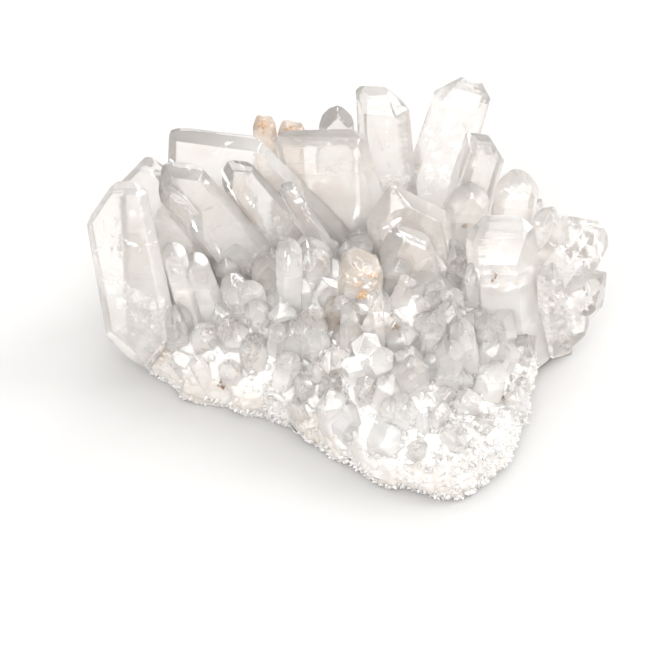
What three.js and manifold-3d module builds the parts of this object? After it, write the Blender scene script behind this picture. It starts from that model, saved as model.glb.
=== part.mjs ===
// A hand-sized cluster of clear quartz crystals grown on a plate of milky quartz.
// Millimetres, +Z up. The cluster lies on the flat cut underside of the plate, at Z = 0.
// +X runs along the plate and +Y runs back. The origin is the middle of the underside.
import * as THREE from 'three';
import { ConvexGeometry } from 'three/addons/geometries/ConvexGeometry.js';
import { mergeVertices } from 'three/addons/utils/BufferGeometryUtils.js';
import Module from 'manifold-3d';

// ---------------------------------------------------------------- driving sizes
const END_FACE_ANGLE = 51.8;    // degrees between an end face's normal and the long axis
const BROKEN_LEAN = 0.45;       // how far a broken end leans to one side
const ROOT_FLOOR = 3;           // crystals stop this far above the underside
const SOCKET_GAP = 0.3;         // clearance between a crystal and the plate it is rooted in
const NEIGHBOUR_GAP = 0.3;      // clearance between crystals of different clumps
const PLATE_TOP = 20;           // height of the plate under the middle of the cluster
const PLATE_RIM = 9;            // height of the plate's upper edge
const PLATE_STEPS = 36;         // steps around the plate's outline
const SLIVER = 20;              // cubic millimetres: smaller bodies left by a cut are dropped
const PLATE_LUMP = 0.8;         // height of the lumps on the plate
const MOUND_HEIGHT = 7;         // how far the plate swells up between the crystals
const MOUND_MIDDLE = 10;        // the swelling's middle sits this far back of the plate's middle
const MOUND_LONG = 36;          // the swelling's spread along the plate
const MOUND_DEEP = 25;          // the swelling's spread from front to back

// Distance from the plate's middle to its edge, every 15 degrees from +X towards +Y.
const PLATE_REACH = [
  49, 54, 56, 55, 51, 47, 45, 46, 49, 53, 55, 53,
  51, 43, 33, 28, 27, 30, 36, 46, 55, 54, 50, 48,
];

// ---------------------------------------------------------------- crystals
// root and tip are two points on a crystal's long axis, which runs on down into the plate.
// wide and thick are its cross-section, and facing is where its broad face looks.
// drop lowers each of the six end faces below the tip, which shapes the point.
// broken takes that many millimetres off the end, taper narrows it in degrees,
// and both gives it a point at the root as well.
const CLUMPS = {
  left_blade: [
    {
      root: [-50, -5, 4], tip: [-57, 8, 55], wide: 21, thick: 8, facing: [-3, -9, 3],
      drop: [0, -6, -6, 1, 0, 2], both: true,
    },
    {
      root: [-45, 8, 2], tip: [-46, 15, 57], wide: 24, thick: 9, facing: [-3, -9, 3],
      drop: [0, 2, 2, 1, -3, -3],
    },
  ],
  fan_blade: [
    { root: [0, 21, 4], tip: [-44, 20, 62], wide: 34, thick: 9, facing: [-3, -7, 5] },
    { root: [-10, 12, 4], tip: [-45, 10, 59], wide: 17, thick: 10, facing: [-2, -7, 6] },
    { root: [3, 16, 4], tip: [-30, 15, 56], wide: 13, thick: 8, facing: [-1, -7, 6] },
    { root: [8, 12, 4], tip: [-16, 11, 53], wide: 8, thick: 6, facing: [-2, -7, 4], broken: 2 },
  ],
  centre_blade: [
    {
      root: [4, 27, 4], tip: [-7, 26, 58], wide: 28, thick: 9, facing: [-3, -9, 4],
      drop: [0, -20, -9, 1, -9, -20],
    },
  ],
  stained_stub: [
    { root: [-18, 38, 4], tip: [-21, 39, 55], wide: 9, thick: 7, facing: [0, -1, 0], broken: 3 },
    { root: [-11, 36, 4], tip: [-14, 37, 55], wide: 10, thick: 6, facing: [0, -1, 0], broken: 3 },
    { root: [-14, 29, 4], tip: [-17, 29, 46], wide: 12, thick: 6, facing: [0, -1, 0], broken: 2 },
  ],
  back_stub: [
    { root: [-2, 43, 4], tip: [-2, 44, 54], wide: 12, thick: 8, facing: [0, -1, 0] },
  ],
  back_point: [
    {
      root: [14, 36, 4], tip: [9, 37, 65], wide: 17, thick: 12, facing: [-2, -9, 4],
      drop: [2, 1, 1, 2, -4, -4],
    },
  ],
  tall_point: [
    {
      root: [18, 38, 4], tip: [32, 43, 64], wide: 18, thick: 13, facing: [-1, -9, 5],
      drop: [2.5, -2, -2, 2.5, 0.5, 0.5],
    },
    {
      root: [27, 34, 4], tip: [38, 36, 53], wide: 15, thick: 9, facing: [2, -9, 5],
      drop: [4, 4, 4, 4, -2, -2],
    },
  ],
  right_back: [
    { root: [32, 22, 4], tip: [32, 26, 43], wide: 13, thick: 9, facing: [0, -9, 3] },
    { root: [42, 28, 4], tip: [46, 34, 42], wide: 14, thick: 9, facing: [2, -9, 3], broken: 3 },
    { root: [47, 21, 4], tip: [54, 26, 35], wide: 10, thick: 8, facing: [2, -9, 3] },
  ],
  smoky_point: [
    {
      root: [23, 13, 4], tip: [13, 13, 51], wide: 23, thick: 11, facing: [1, -9, 5],
      drop: [0, 2, 2, 1, -2, -2], broken: 2,
    },
    { root: [25, 4, 4], tip: [12, 4, 45], wide: 16, thick: 9, facing: [1, -9, 4] },
    { root: [29, 12, 4], tip: [27, 12, 35], wide: 10, thick: 9, facing: [1, -9, 4] },
  ],
  stout_point: [
    {
      root: [43, 3, 4], tip: [38, 8, 43], wide: 20, thick: 17, facing: [-2, -9, 2],
      drop: [-1, -7, -7, -1, -5, -5],
    },
    { root: [33, 0, 4], tip: [32, 4, 34], wide: 7, thick: 6, facing: [-2, -9, 2] },
  ],
  right_point: [
    { root: [48, 14, 8], tip: [62, 4, 47], wide: 18, thick: 16, facing: [5, 3, 1], broken: 5 },
    { root: [55, 5, 4], tip: [50, 0, 36], wide: 9, thick: 7, facing: [3, -9, 2] },
    { root: [56, 8, 4], tip: [60, 4, 29], wide: 8, thick: 7, facing: [3, -9, 2] },
    { root: [48, 8, 3], tip: [68, 12, 24], wide: 15, thick: 13, facing: [0, -9, 2] },
    { root: [54, 6, 3], tip: [62, 1, 18], wide: 8, thick: 7, facing: [3, -9, 2] },
  ],
  middle_point: [
    { root: [-13, -4, 3], tip: [-14, -2, 46], wide: 9, thick: 7, facing: [2, -9, 3] },
    { root: [-3, -2, 3], tip: [-9, 2, 43], wide: 11, thick: 7, facing: [3, -9, 3] },
    { root: [-19, 2, 3], tip: [-20, 4, 36], wide: 9, thick: 6, facing: [2, -9, 3] },
    { root: [8, 4, 3], tip: [3, 8, 40], wide: 9, thick: 7, facing: [1, -9, 3] },
  ],
  left_middle: [
    { root: [-36, 0, 3], tip: [-43, 0, 43], wide: 9, thick: 7, facing: [-2, -9, 3] },
    { root: [-29, -1, 3], tip: [-38, 0, 40], wide: 9, thick: 7, facing: [-2, -9, 3] },
    { root: [-22, -3, 3], tip: [-29, -2, 35], wide: 9, thick: 7, facing: [-1, -9, 3] },
    { root: [-17, -8, 3], tip: [-23, -7, 31], wide: 8, thick: 6, facing: [2, -9, 3] },
  ],
  front_left: [
    { root: [-42, -2, 3], tip: [-42, -5, 27], wide: 9, thick: 7, facing: [1, -9, 3] },
    { root: [-34, -6, 3], tip: [-35, -8, 24], wide: 9, thick: 7, facing: [-1, -9, 3] },
    { root: [-28, -9, 3], tip: [-30, -9, 28], wide: 7, thick: 6, facing: [1, -9, 3], broken: 2 },
    { root: [-21, -13, 3], tip: [-23, -14, 25], wide: 9, thick: 7, facing: [1, -9, 3] },
  ],
  front_middle: [
    { root: [-14, -17, 3], tip: [-13, -12, 29], wide: 10, thick: 8, facing: [-2, -9, 3] },
    { root: [-2, -18, 3], tip: [-10, -12, 32], wide: 10, thick: 7, facing: [3, -9, 3] },
    { root: [-9, -22, 3], tip: [-10, -22, 21], wide: 7, thick: 6, facing: [1, -9, 3], broken: 2 },
    { root: [-3, -25, 3], tip: [-4, -26, 23], wide: 7, thick: 6, facing: [1, -9, 3] },
  ],
  rusty_break: [
    { root: [3, -8, 3], tip: [4, -4, 46], wide: 13, thick: 9, facing: [-1, -9, 3], broken: 6 },
    { root: [-2, -10, 3], tip: [-2, -10, 35], wide: 8, thick: 6, facing: [2, -9, 3], broken: 3 },
  ],
  slender_point: [
    { root: [2, -19, 3], tip: [1, -14, 36], wide: 7, thick: 5, facing: [3, -9, 3] },
    { root: [9, -20, 3], tip: [7, -14, 40], wide: 6, thick: 5, facing: [3, -9, 3] },
    { root: [13, -20, 3], tip: [11, -15, 33], wide: 7, thick: 5, facing: [2, -9, 3] },
  ],
  small_point: [
    { root: [7, -30, 3], tip: [4, -29, 25], wide: 7, thick: 5, facing: [-2, -9, 3] },
  ],
  front_right: [
    {
      root: [16, -28, 3], tip: [15, -27, 32], wide: 12, thick: 8, facing: [3, -9, 3],
      drop: [0, 0, 3, 3, 3, 0],
    },
    { root: [15, -22, 3], tip: [22, -18, 33], wide: 7, thick: 6, facing: [-2, -9, 3] },
    { root: [24, -26, 3], tip: [25, -23, 32], wide: 9, thick: 7, facing: [-2, -9, 3] },
    { root: [33, -20, 3], tip: [27, -17, 33], wide: 8, thick: 7, facing: [2, -9, 3] },
    { root: [36, -12, 3], tip: [35, -9, 28], wide: 9, thick: 7, facing: [2, -9, 3] },
    { root: [42, -9, 3], tip: [46, -6, 19], wide: 8, thick: 7, facing: [2, -9, 3] },
    { root: [20, -10, 3], tip: [18, -8, 27], wide: 10, thick: 8, facing: [1, -9, 3] },
    { root: [29, -8, 3], tip: [27, -6, 26], wide: 9, thick: 8, facing: [2, -9, 3] },
  ],
  rim_block: [
    { root: [9, -36, 3], tip: [10, -40, 19], wide: 11, thick: 9, facing: [-3, -9, 3] },
    { root: [1, -31, 3], tip: [0, -33, 19], wide: 9, thick: 7, facing: [3, -9, 3] },
    { root: [19, -35, 3], tip: [18, -37, 20], wide: 9, thick: 7, facing: [1, -9, 3] },
  ],
  corner_lump: [
    { root: [26, -35, 3], tip: [25, -38, 18], wide: 11, thick: 10, facing: [2, -9, 3] },
    { root: [33, -28, 3], tip: [36, -30, 16], wide: 11, thick: 10, facing: [3, -9, 1] },
    { root: [30, -39, 3], tip: [32, -42, 13], wide: 10, thick: 9, facing: [2, -9, 1] },
    { root: [40, -20, 3], tip: [43, -22, 15], wide: 10, thick: 9, facing: [3, -9, 1] },
    { root: [18, -42, 3], tip: [19, -44, 12], wide: 9, thick: 8, facing: [2, -9, 1] },
  ],
  rear_left: [
    { root: [-38, 24, 3], tip: [-46, 32, 34], wide: 11, thick: 9, facing: [-2, 9, 3] },
    { root: [-28, 32, 3], tip: [-32, 42, 32], wide: 10, thick: 8, facing: [-1, 9, 3] },
    { root: [-46, 16, 3], tip: [-56, 22, 32], wide: 10, thick: 8, facing: [-9, 2, 3] },
  ],
  rear_right: [
    { root: [14, 45, 3], tip: [14, 52, 30], wide: 10, thick: 8, facing: [1, 9, 3] },
    { root: [30, 42, 3], tip: [36, 50, 28], wide: 10, thick: 9, facing: [2, 9, 3] },
    { root: [44, 36, 3], tip: [54, 42, 26], wide: 10, thick: 8, facing: [5, 5, 3] },
  ],
};

// ---------------------------------------------------------------- crystal shapes
const wasm = await Module();
wasm.setup();

// A geometry as a solid that can be joined and cut.
function toSolid(geometry) {
  const bare = geometry.clone();
  bare.deleteAttribute('normal');
  bare.deleteAttribute('uv');
  const merged = mergeVertices(bare, 1e-4);
  return new wasm.Manifold(new wasm.Mesh({
    numProp: 3,
    vertProperties: new Float32Array(merged.attributes.position.array),
    triVerts: new Uint32Array(merged.index.array),
  }));
}

// A solid as a geometry with flat faces.
function toGeometry(solid) {
  const mesh = solid.getMesh();
  const geometry = new THREE.BufferGeometry();
  geometry.setAttribute('position', new THREE.BufferAttribute(mesh.vertProperties, 3));
  geometry.setIndex(new THREE.BufferAttribute(mesh.triVerts, 1));
  const flat = geometry.toNonIndexed();
  flat.computeVertexNormals();
  return flat;
}

// The flat faces of a crystal, each a plane with its normal facing out.
function crystalFaces(crystal) {
  const root = new THREE.Vector3(...crystal.root);
  const tip = new THREE.Vector3(...crystal.tip);
  const axis = tip.clone().sub(root).normalize();
  const broad = new THREE.Vector3(...crystal.facing);
  broad.addScaledVector(axis, -broad.dot(axis)).normalize();
  const across = new THREE.Vector3().crossVectors(axis, broad);
  const taper = THREE.MathUtils.degToRad(crystal.taper ?? 1.5);
  const slope = THREE.MathUtils.degToRad(END_FACE_ANGLE);
  const drop = crystal.drop ?? [0, 1.5, 0, 1, 0, 2];
  const faces = [];
  const addFace = (normal, point) => {
    faces.push(new THREE.Plane().setFromNormalAndCoplanarPoint(normal, point));
  };
  for (let side = 0; side < 6; side += 1) {
    const turn = side * Math.PI / 3;
    const out = broad.clone().multiplyScalar(Math.cos(turn));
    out.addScaledVector(across, Math.sin(turn));
    const reach = side % 3 === 0 ? crystal.thick / 2 : crystal.wide / 2 * Math.cos(Math.PI / 6);
    const wall = out.clone().multiplyScalar(Math.cos(taper)).addScaledVector(axis, Math.sin(taper));
    addFace(wall, root.clone().addScaledVector(out, reach));
    const end = axis.clone().multiplyScalar(Math.cos(slope)).addScaledVector(out, Math.sin(slope));
    addFace(end, tip.clone().addScaledVector(axis, -drop[side]));
    if (crystal.both) {
      const under = axis.clone().multiplyScalar(-Math.cos(slope));
      under.addScaledVector(out, Math.sin(slope));
      addFace(under, root);
    }
  }
  if (crystal.broken) {
    const lean = axis.clone().addScaledVector(across, BROKEN_LEAN);
    lean.addScaledVector(broad, BROKEN_LEAN / 2).normalize();
    addFace(lean, tip.clone().addScaledVector(axis, -crystal.broken));
  }
  addFace(new THREE.Vector3(0, 0, -1), new THREE.Vector3(0, 0, ROOT_FLOOR));
  return faces;
}

// The solid inside all of a crystal's faces, with every face moved out by grow.
function crystalSolid(crystal, grow) {
  const faces = crystalFaces(crystal);
  faces.forEach((face) => {
    face.constant -= grow;
  });
  const corners = [];
  for (let a = 0; a < faces.length; a += 1) {
    for (let b = a + 1; b < faces.length; b += 1) {
      for (let c = b + 1; c < faces.length; c += 1) {
        const corner = meetingPoint(faces[a], faces[b], faces[c]);
        if (!corner) continue;
        if (faces.some((face) => face.distanceToPoint(corner) > 1e-4)) continue;
        if (corners.some((other) => other.distanceTo(corner) < 1e-2)) continue;
        corners.push(corner);
      }
    }
  }
  return toSolid(new ConvexGeometry(corners));
}

// The point where three planes cross, or null where they don't.
function meetingPoint(p, q, r) {
  const qr = new THREE.Vector3().crossVectors(q.normal, r.normal);
  const rp = new THREE.Vector3().crossVectors(r.normal, p.normal);
  const pq = new THREE.Vector3().crossVectors(p.normal, q.normal);
  const volume = p.normal.dot(qr);
  if (Math.abs(volume) < 1e-6) return null;
  const point = qr.multiplyScalar(-p.constant);
  point.addScaledVector(rp, -q.constant);
  point.addScaledVector(pq, -r.constant);
  return point.divideScalar(volume);
}

// The bodies a solid is made of, the largest first, without the slivers a cut has left.
function bodiesOf(solid) {
  const bodies = solid.decompose().filter((body) => body.volume() > SLIVER);
  return bodies.sort((one, other) => other.volume() - one.volume());
}

// ---------------------------------------------------------------- plate shape
// The plate's reach in one direction, read smoothly from the list of reaches.
function plateReach(angle) {
  const turns = (angle / (2 * Math.PI) + 1) % 1;
  const place = turns * PLATE_REACH.length;
  const from = Math.floor(place) % PLATE_REACH.length;
  const to = (from + 1) % PLATE_REACH.length;
  const part = place - Math.floor(place);
  const ease = part * part * (3 - 2 * part);
  const base = PLATE_REACH[from] * (1 - ease) + PLATE_REACH[to] * ease;
  const knobs = 0.6 * Math.sin(17 * angle) + 0.5 * Math.sin(29 * angle + 1) + 0.4 * Math.sin(41 * angle);
  return base + knobs;
}

// The plate is turned as a round dish, then stretched to its outline and lumped on top.
function plateSolid() {
  const profile = [
    [0, 0], [0.965, 0], [1, 3], [0.99, PLATE_RIM - 2], [0.95, PLATE_RIM],
    [0.82, PLATE_RIM + 5], [0.62, PLATE_TOP - 2], [0.42, PLATE_TOP - 0.5],
    [0.22, PLATE_TOP], [0, PLATE_TOP],
  ];
  const points = profile.map(([reach, height]) => new THREE.Vector2(reach, height));
  const dish = new THREE.LatheGeometry(points, PLATE_STEPS);
  dish.rotateX(Math.PI / 2);
  const place = dish.attributes.position;
  for (let i = 0; i < place.count; i += 1) {
    const angle = Math.atan2(place.getY(i), place.getX(i));
    const reach = Math.hypot(place.getX(i), place.getY(i));
    const x = place.getX(i) * plateReach(angle);
    const y = place.getY(i) * plateReach(angle);
    const top = place.getZ(i) > 4 ? 1 : 0;
    const lump = Math.sin(0.31 * x + 1) * Math.cos(0.37 * y) + 0.5 * Math.sin(0.83 * x - 0.6 * y);
    const fall = (x / MOUND_LONG) ** 2 + ((y - MOUND_MIDDLE) / MOUND_DEEP) ** 2;
    const rise = PLATE_LUMP * lump * Math.min(1, 3 * reach) + MOUND_HEIGHT * Math.exp(-fall);
    place.setXYZ(i, x, y, place.getZ(i) + top * rise);
  }
  return toSolid(dish);
}

// ---------------------------------------------------------------- the cluster
const quartz = (hex, roughness) => new THREE.MeshStandardMaterial({
  color: hex,
  roughness,
  metalness: 0,
});
const LOOKS = {
  plate: quartz(0xdcd6d0, 0.55),
  crystal: quartz(0xe6e2dd, 0.06),
  smoky: quartz(0xcdc5bc, 0.08),
  stained: quartz(0xd9b999, 0.2),
  frosted: quartz(0xe9e9ea, 0.35),
};
const SPECIAL_LOOKS = {
  smoky_point: 'smoky',
  stained_stub: 'stained',
  rusty_break: 'stained',
  corner_lump: 'frosted',
  rim_block: 'frosted',
};

const cluster = new THREE.Group();

function addPiece(name, solid, look) {
  const piece = new THREE.Mesh(toGeometry(solid), LOOKS[look]);
  piece.name = name;
  cluster.add(piece);
}

// Crystals that grow into each other are one solid, and a clump may hold several such solids.
// A clump that meets an earlier one stops just short of it, and the plate is cut away round all.
let plate = plateSolid();
const placed = [];
Object.entries(CLUMPS).forEach(([name, crystals]) => {
  const joined = (grow) => {
    const solids = crystals.map((crystal) => crystalSolid(crystal, grow));
    return solids.reduce((all, one) => all.add(one));
  };
  let clump = joined(0);
  placed.forEach((earlier) => {
    clump = clump.subtract(earlier);
  });
  bodiesOf(clump).forEach((body, index, all) => {
    const label = all.length > 1 ? `${name}_${index + 1}` : name;
    addPiece(label, body, SPECIAL_LOOKS[name] ?? 'crystal');
  });
  placed.push(joined(NEIGHBOUR_GAP));
  plate = plate.subtract(joined(SOCKET_GAP));
});
addPiece('plate', bodiesOf(plate)[0], 'plate');

export default cluster;
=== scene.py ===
"""A cluster of clear quartz crystals on a plate of milky quartz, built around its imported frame."""

import math

import bmesh
import bpy
import numpy as np
from bpy.props import FloatProperty, FloatVectorProperty, IntProperty, PointerProperty
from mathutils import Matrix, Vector


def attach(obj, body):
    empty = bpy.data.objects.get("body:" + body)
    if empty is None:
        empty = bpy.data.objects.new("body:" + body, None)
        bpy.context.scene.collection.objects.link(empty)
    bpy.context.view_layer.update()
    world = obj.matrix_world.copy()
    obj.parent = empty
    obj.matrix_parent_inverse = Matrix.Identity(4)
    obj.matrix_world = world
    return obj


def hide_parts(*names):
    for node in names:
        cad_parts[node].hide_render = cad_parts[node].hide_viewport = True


bl_info = {
    "name": "Quartz Crystal Cluster",
    "version": (1, 0, 0),
    "blender": (4, 5, 0),
    "location": "View3D > Sidebar > Quartz",
    "description": "Builds a cluster of clear quartz crystals on a milky plate, and its stage",
    "category": "Object",
}

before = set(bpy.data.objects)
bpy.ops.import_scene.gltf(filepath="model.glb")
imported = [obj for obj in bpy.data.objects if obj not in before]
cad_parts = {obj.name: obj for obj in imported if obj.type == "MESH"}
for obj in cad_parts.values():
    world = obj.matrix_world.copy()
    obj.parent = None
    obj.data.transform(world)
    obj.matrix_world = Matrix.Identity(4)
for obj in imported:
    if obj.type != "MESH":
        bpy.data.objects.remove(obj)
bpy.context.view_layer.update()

MM = 0.001
QUARTZ_IOR = 1.544
WALL_FACES = 12                       # six sides and six end faces come first in a crystal's planes
END_FACE_ANGLE = math.radians(51.8)   # the normals of quartz's end faces stand this far off the long axis
ROOT_FLOOR = 3.0                      # crystals stop this far above the underside, in mm
BROKEN_LEAN = 0.45                    # how far a broken end leans to one side
CLOSE_ROW = 0.12                      # rows this near each edge of a crystal keep it crisp, in mm
NEAR_ROW = 0.4                        # and two more this near, in mm
SHARP_ANGLE = 24                      # crystal edges past this many degrees stay sharp
PLATE_SHARP_ANGLE = 60
INFILL_PIECES = 6
INFILL_SPACING = 2.4                  # widest step between two rows along a lesser crystal, in mm
FLAKE_LONG = 0.85                     # share of a flake's listed length that is still there
FLAKE_WIDE = 0.40                     # share of its listed width
FLAKE_RINGS = 6
FLAKE_SPOKES = 26
VEIL_RINGS = 9
VEIL_SPOKES = 30
VEIL_FLOOR = 8                        # no veil has its middle lower than this, in mm

# Distance from the plate's middle to its edge in mm, every 15 degrees from +X towards +Y.
PLATE_REACH = (49, 54, 56, 55, 51, 47, 45, 46, 49, 53, 55, 53,
               51, 43, 33, 28, 27, 30, 36, 46, 55, 54, 50, 48)
MOUND_HEIGHT = 7.0   # how far the plate swells up between the crystals
MOUND_MIDDLE = 10.0   # the swelling's middle sits this far back of the plate's middle
MOUND_LONG = 36.0     # the swelling's spread along the plate
MOUND_DEEP = 25.0     # the swelling's spread from front to back

DROP = (0, 1.5, 0, 1, 0, 2)


def crystal(root, tip, wide, thick, facing, drop=DROP, broken=0.0, both=False):
    """One crystal's sizes in mm: two points on its long axis, its cross-section, where its broad
    face looks, how far each end face sits below the tip, and how much of its end is broken off."""
    return dict(root=root, tip=tip, wide=wide, thick=thick, facing=facing, drop=drop,
                broken=broken, both=both)


C = crystal
CLUMPS = {
    "left_blade": [
        C((-50, -5, 4), (-57, 8, 55), 21, 8, (-3, -9, 3), drop=(0, -6, -6, 1, 0, 2), both=True),
        C((-45, 8, 2), (-46, 15, 57), 24, 9, (-3, -9, 3), drop=(0, 2, 2, 1, -3, -3)),
    ],
    "fan_blade": [
        C((0, 21, 4), (-44, 20, 62), 34, 9, (-3, -7, 5)),
        C((-10, 12, 4), (-45, 10, 59), 17, 10, (-2, -7, 6)),
        C((3, 16, 4), (-30, 15, 56), 13, 8, (-1, -7, 6)),
        C((8, 12, 4), (-16, 11, 53), 8, 6, (-2, -7, 4), broken=2),
    ],
    "centre_blade": [
        C((4, 27, 4), (-7, 26, 58), 28, 9, (-3, -9, 4), drop=(0, -20, -9, 1, -9, -20)),
    ],
    "stained_stub": [
        C((-18, 38, 4), (-21, 39, 55), 9, 7, (0, -1, 0), broken=3),
        C((-11, 36, 4), (-14, 37, 55), 10, 6, (0, -1, 0), broken=3),
        C((-14, 29, 4), (-17, 29, 46), 12, 6, (0, -1, 0), broken=2),
    ],
    "back_stub": [
        C((-2, 43, 4), (-2, 44, 54), 12, 8, (0, -1, 0)),
    ],
    "back_point": [
        C((14, 36, 4), (9, 37, 65), 17, 12, (-2, -9, 4), drop=(2, 1, 1, 2, -4, -4)),
    ],
    "tall_point": [
        C((18, 38, 4), (32, 43, 64), 18, 13, (-1, -9, 5), drop=(2.5, -2, -2, 2.5, 0.5, 0.5)),
        C((27, 34, 4), (38, 36, 53), 15, 9, (2, -9, 5), drop=(4, 4, 4, 4, -2, -2)),
    ],
    "right_back": [
        C((32, 22, 4), (32, 26, 43), 13, 9, (0, -9, 3)),
        C((42, 28, 4), (46, 34, 42), 14, 9, (2, -9, 3), broken=3),
        C((47, 21, 4), (54, 26, 35), 10, 8, (2, -9, 3)),
    ],
    "smoky_point": [
        C((23, 13, 4), (13, 13, 51), 23, 11, (1, -9, 5), drop=(0, 2, 2, 1, -2, -2), broken=2),
        C((25, 4, 4), (12, 4, 45), 16, 9, (1, -9, 4)),
        C((29, 12, 4), (27, 12, 35), 10, 9, (1, -9, 4)),
    ],
    "stout_point": [
        C((43, 3, 4), (38, 8, 43), 20, 17, (-2, -9, 2), drop=(-1, -7, -7, -1, -5, -5)),
        C((33, 0, 4), (32, 4, 34), 7, 6, (-2, -9, 2)),
    ],
    "right_point": [
        C((48, 14, 8), (62, 4, 47), 18, 16, (5, 3, 1), broken=5),
        C((55, 5, 4), (50, 0, 36), 9, 7, (3, -9, 2)),
        C((56, 8, 4), (60, 4, 29), 8, 7, (3, -9, 2)),
        C((48, 8, 3), (68, 12, 24), 15, 13, (0, -9, 2)),
        C((54, 6, 3), (62, 1, 18), 8, 7, (3, -9, 2)),
    ],
    "middle_point": [
        C((-13, -4, 3), (-14, -2, 46), 9, 7, (2, -9, 3)),
        C((-3, -2, 3), (-9, 2, 43), 11, 7, (3, -9, 3)),
        C((-19, 2, 3), (-20, 4, 36), 9, 6, (2, -9, 3)),
        C((8, 4, 3), (3, 8, 40), 9, 7, (1, -9, 3)),
    ],
    "left_middle": [
        C((-36, 0, 3), (-43, 0, 43), 9, 7, (-2, -9, 3)),
        C((-29, -1, 3), (-38, 0, 40), 9, 7, (-2, -9, 3)),
        C((-22, -3, 3), (-29, -2, 35), 9, 7, (-1, -9, 3)),
        C((-17, -8, 3), (-23, -7, 31), 8, 6, (2, -9, 3)),
    ],
    "front_left": [
        C((-42, -2, 3), (-42, -5, 27), 9, 7, (1, -9, 3)),
        C((-34, -6, 3), (-35, -8, 24), 9, 7, (-1, -9, 3)),
        C((-28, -9, 3), (-30, -9, 28), 7, 6, (1, -9, 3), broken=2),
        C((-21, -13, 3), (-23, -14, 25), 9, 7, (1, -9, 3)),
    ],
    "front_middle": [
        C((-14, -17, 3), (-13, -12, 29), 10, 8, (-2, -9, 3)),
        C((-2, -18, 3), (-10, -12, 32), 10, 7, (3, -9, 3)),
        C((-9, -22, 3), (-10, -22, 21), 7, 6, (1, -9, 3), broken=2),
        C((-3, -25, 3), (-4, -26, 23), 7, 6, (1, -9, 3)),
    ],
    "rusty_break": [
        C((3, -8, 3), (4, -4, 46), 13, 9, (-1, -9, 3), broken=6),
        C((-2, -10, 3), (-2, -10, 35), 8, 6, (2, -9, 3), broken=3),
    ],
    "slender_point": [
        C((2, -19, 3), (1, -14, 36), 7, 5, (3, -9, 3)),
        C((9, -20, 3), (7, -14, 40), 6, 5, (3, -9, 3)),
        C((13, -20, 3), (11, -15, 33), 7, 5, (2, -9, 3)),
    ],
    "small_point": [
        C((7, -30, 3), (4, -29, 25), 7, 5, (-2, -9, 3)),
    ],
    "front_right": [
        C((16, -28, 3), (15, -27, 32), 12, 8, (3, -9, 3), drop=(0, 0, 3, 3, 3, 0)),
        C((15, -22, 3), (22, -18, 33), 7, 6, (-2, -9, 3)),
        C((24, -26, 3), (25, -23, 32), 9, 7, (-2, -9, 3)),
        C((33, -20, 3), (27, -17, 33), 8, 7, (2, -9, 3)),
        C((36, -12, 3), (35, -9, 28), 9, 7, (2, -9, 3)),
        C((42, -9, 3), (46, -6, 19), 8, 7, (2, -9, 3)),
        C((20, -10, 3), (18, -8, 27), 10, 8, (1, -9, 3)),
        C((29, -8, 3), (27, -6, 26), 9, 8, (2, -9, 3)),
    ],
    "rim_block": [
        C((9, -36, 3), (10, -40, 19), 11, 9, (-3, -9, 3)),
        C((1, -31, 3), (0, -33, 19), 9, 7, (3, -9, 3)),
        C((19, -35, 3), (18, -37, 20), 9, 7, (1, -9, 3)),
    ],
    "corner_lump": [
        C((26, -35, 3), (25, -38, 18), 11, 10, (2, -9, 3)),
        C((33, -28, 3), (36, -30, 16), 11, 10, (3, -9, 1)),
        C((30, -39, 3), (32, -42, 13), 10, 9, (2, -9, 1)),
        C((40, -20, 3), (43, -22, 15), 10, 9, (3, -9, 1)),
        C((18, -42, 3), (19, -44, 12), 9, 8, (2, -9, 1)),
    ],
    "rear_left": [
        C((-38, 24, 3), (-46, 32, 34), 11, 9, (-2, 9, 3)),
        C((-28, 32, 3), (-32, 42, 32), 10, 8, (-1, 9, 3)),
        C((-46, 16, 3), (-56, 22, 32), 10, 8, (-9, 2, 3)),
    ],
    "rear_right": [
        C((14, 45, 3), (14, 52, 30), 10, 8, (1, 9, 3)),
        C((30, 42, 3), (36, 50, 28), 10, 9, (2, 9, 3)),
        C((44, 36, 3), (54, 42, 26), 10, 8, (5, 5, 3)),
    ],
}

CLUMP_LOOKS = {
    "left_blade": "clouded_crystal",
    "rusty_break": "tan_crystal",
    "centre_blade": "hazy_crystal",
    "right_back": "hazy_crystal",
    "stout_point": "hazy_crystal",
    "middle_point": "hazy_crystal",
    "left_middle": "hazy_crystal",
    "front_left": "hazy_crystal",
    "front_middle": "hazy_crystal",
    "slender_point": "hazy_crystal",
    "small_point": "hazy_crystal",
    "front_right": "hazy_crystal",
}
CLUMP_SLOTS = {
    "smoky_point": "smoky_quartz",
    "stained_stub": "stained_quartz",
    "rusty_break": "stained_quartz",
    "corner_lump": "frosted_quartz",
    "rim_block": "frosted_quartz",
}


# ---------------------------------------------------------------- numbers

def unit(v):
    """The vector scaled to length one."""
    v = np.asarray(v, float)
    return v / np.linalg.norm(v, axis=-1, keepdims=True)


def lattice(ix, iy, iz, seed):
    """A fixed number from 0 to 1 for each lattice point: the fraction left by a large sine."""
    h = np.sin(ix * 127.1 + iy * 311.7 + iz * 74.7 + seed * 53.3) * 43758.5453
    return h - np.floor(h)


def noise(p, size, seed=0):
    """Smooth noise from -1 to 1: lattice values blended by a smooth step along each axis."""
    q = np.asarray(p, float) / size
    i = np.floor(q)
    f = q - i
    f = f * f * f * (f * (6 * f - 15) + 10)
    total = 0.0
    for dx in (0, 1):
        for dy in (0, 1):
            for dz in (0, 1):
                w = ((f[..., 0] if dx else 1 - f[..., 0])
                     * (f[..., 1] if dy else 1 - f[..., 1])
                     * (f[..., 2] if dz else 1 - f[..., 2]))
                total = total + w * lattice(i[..., 0] + dx, i[..., 1] + dy, i[..., 2] + dz, seed)
    return 2 * total - 1


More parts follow.
